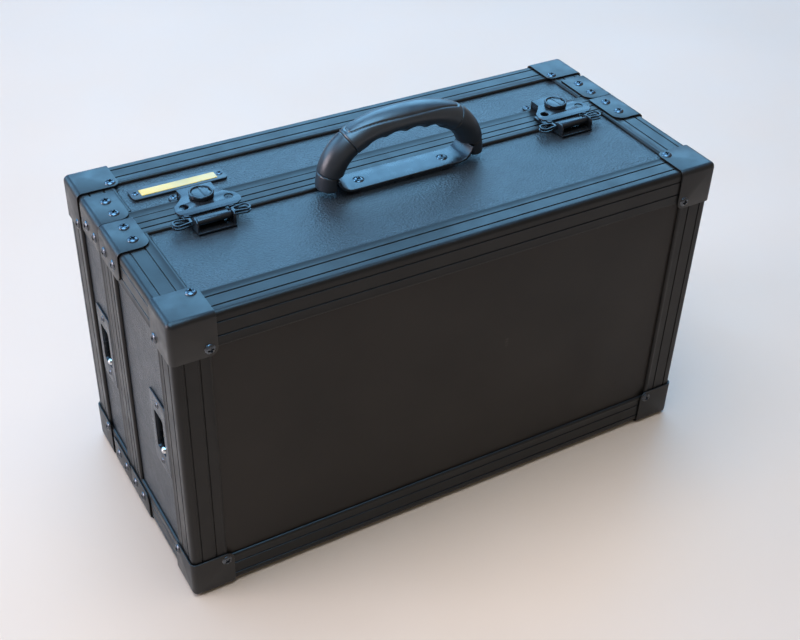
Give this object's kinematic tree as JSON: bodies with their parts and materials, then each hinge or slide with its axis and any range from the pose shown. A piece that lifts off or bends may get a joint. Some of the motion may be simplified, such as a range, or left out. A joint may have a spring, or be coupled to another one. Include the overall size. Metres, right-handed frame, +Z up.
{
  "type": "hard equipment case",
  "caption": "Oblong hard case with grooved black metal trims, corner caps and braces, turn latches and a moulded carry handle; the back half swings open on hinges under the case.",
  "frame": {"origin": "middle of the plane that the case rests on, under the middle of its box", "axes": "+X along the length to the right, seen from the front; +Y to the back; +Z up through the handle"},
  "size_m": [0.47, 0.219, 0.3231],
  "materials": {
    "pebble_panel": "black laminate with a fine pebble grain, semi-matt",
    "smooth_panel": "near-black laminate, very fine grain, faint scuffs",
    "black_trim": "black anodised aluminium extrusion with fine grooves on each flange, satin",
    "black_cap": "black powder-coated pressed steel, satin",
    "latch_steel": "black coated steel, semi-gloss, worn brighter along its edges",
    "strap_steel": "black coated spring steel strap, smooth semi-gloss",
    "soft_grip": "soft black grip with finger scallops",
    "black_moulding": "black moulded plastic, fine matt",
    "label_yellow": "small plate with a plain yellow field and no lettering",
    "end_plate_steel": "black coated steel with a brighter bar"
  },
  "bodies": {
    "front_half": {"front_face_panel": "smooth_panel", "front_bottom_panel": "pebble_panel", "front_top_panel": "pebble_panel", "front_left_panel": "pebble_panel", "front_right_panel": "pebble_panel", "front_edge_frame": "black_trim", "front_closure_frame": "black_trim", "front_bottom_left_trim": "black_trim", "front_bottom_right_trim": "black_trim", "front_top_left_trim": "black_trim", "front_top_right_trim": "black_trim", "front_bottom_left_cap": "black_cap", "front_bottom_right_cap": "black_cap", "front_top_left_cap": "black_cap", "front_top_right_cap": "black_cap", "front_bottom_left_brace": "black_cap", "front_bottom_right_brace": "black_cap", "front_top_left_brace": "black_cap", "front_top_right_brace": "black_cap", "front_end_plate": "end_plate_steel", "hinge_left_front_leaf": "latch_steel", "hinge_right_front_leaf": "latch_steel", "latch_left_keeper": "latch_steel", "latch_right_keeper": "latch_steel", "handle_strap": "strap_steel", "handle_grip": "soft_grip", "handle_left_elbow": "black_moulding", "handle_right_elbow": "black_moulding"},
    "back_half": {"back_face_panel": "smooth_panel", "back_bottom_panel": "pebble_panel", "back_top_panel": "pebble_panel", "back_left_panel": "pebble_panel", "back_right_panel": "pebble_panel", "back_edge_frame": "black_trim", "back_closure_frame": "black_trim", "back_bottom_left_trim": "black_trim", "back_bottom_right_trim": "black_trim", "back_top_left_trim": "black_trim", "back_top_right_trim": "black_trim", "back_bottom_left_cap": "black_cap", "back_bottom_right_cap": "black_cap", "back_top_left_cap": "black_cap", "back_top_right_cap": "black_cap", "back_bottom_left_brace": "black_cap", "back_bottom_right_brace": "black_cap", "back_top_left_brace": "black_cap", "back_top_right_brace": "black_cap", "back_end_plate": "end_plate_steel", "hinge_left_back_leaf": "latch_steel", "hinge_right_back_leaf": "latch_steel", "latch_left_cover": "latch_steel", "latch_right_cover": "latch_steel", "label_plate": "label_yellow"},
    "latch_left_disc": {"latch_left_disc": "latch_steel"},
    "latch_left_wing": {"latch_left_wing": "latch_steel"},
    "latch_left_claw": {"latch_left_claw": "latch_steel"},
    "latch_right_disc": {"latch_right_disc": "latch_steel"},
    "latch_right_wing": {"latch_right_wing": "latch_steel"},
    "latch_right_claw": {"latch_right_claw": "latch_steel"}
  },
  "joints": [
    {"name": "back_half_swing", "type": "hinge", "parent": "front_half", "child": "back_half", "pos_m": [0, 0.027, 0.003], "axis": [-1, 0, 0], "range_deg": [0, 95]},
    {"name": "latch_left_turn", "type": "hinge", "parent": "back_half", "child": "latch_left_disc", "pos_m": [-0.155, 0.023, 0.273], "axis": [0, 0, 1], "range_deg": [0, 180]},
    {"name": "latch_left_wing_fold", "type": "hinge", "parent": "latch_left_disc", "child": "latch_left_wing", "pos_m": [-0.1541, 0.023, 0.27465], "axis": [0, -1, 0], "range_deg": [0, 90]},
    {"name": "latch_left_claw_drop", "type": "hinge", "parent": "back_half", "child": "latch_left_claw", "pos_m": [-0.155, 0.031, 0.2674], "axis": [1, 0, 0], "range_deg": [0, 2.7]},
    {"name": "latch_right_turn", "type": "hinge", "parent": "back_half", "child": "latch_right_disc", "pos_m": [0.1685, 0.023, 0.273], "axis": [0, 0, 1], "range_deg": [0, 180]},
    {"name": "latch_right_wing_fold", "type": "hinge", "parent": "latch_right_disc", "child": "latch_right_wing", "pos_m": [0.1694, 0.023, 0.27465], "axis": [0, -1, 0], "range_deg": [0, 90]},
    {"name": "latch_right_claw_drop", "type": "hinge", "parent": "back_half", "child": "latch_right_claw", "pos_m": [0.1685, 0.031, 0.2674], "axis": [1, 0, 0], "range_deg": [0, 2.7]}
  ],
  "couplings": [
    {"joint": "latch_left_claw_drop", "follows": "latch_left_turn", "ratio": 0.015},
    {"joint": "latch_right_claw_drop", "follows": "latch_right_turn", "ratio": 0.015}
  ]
}
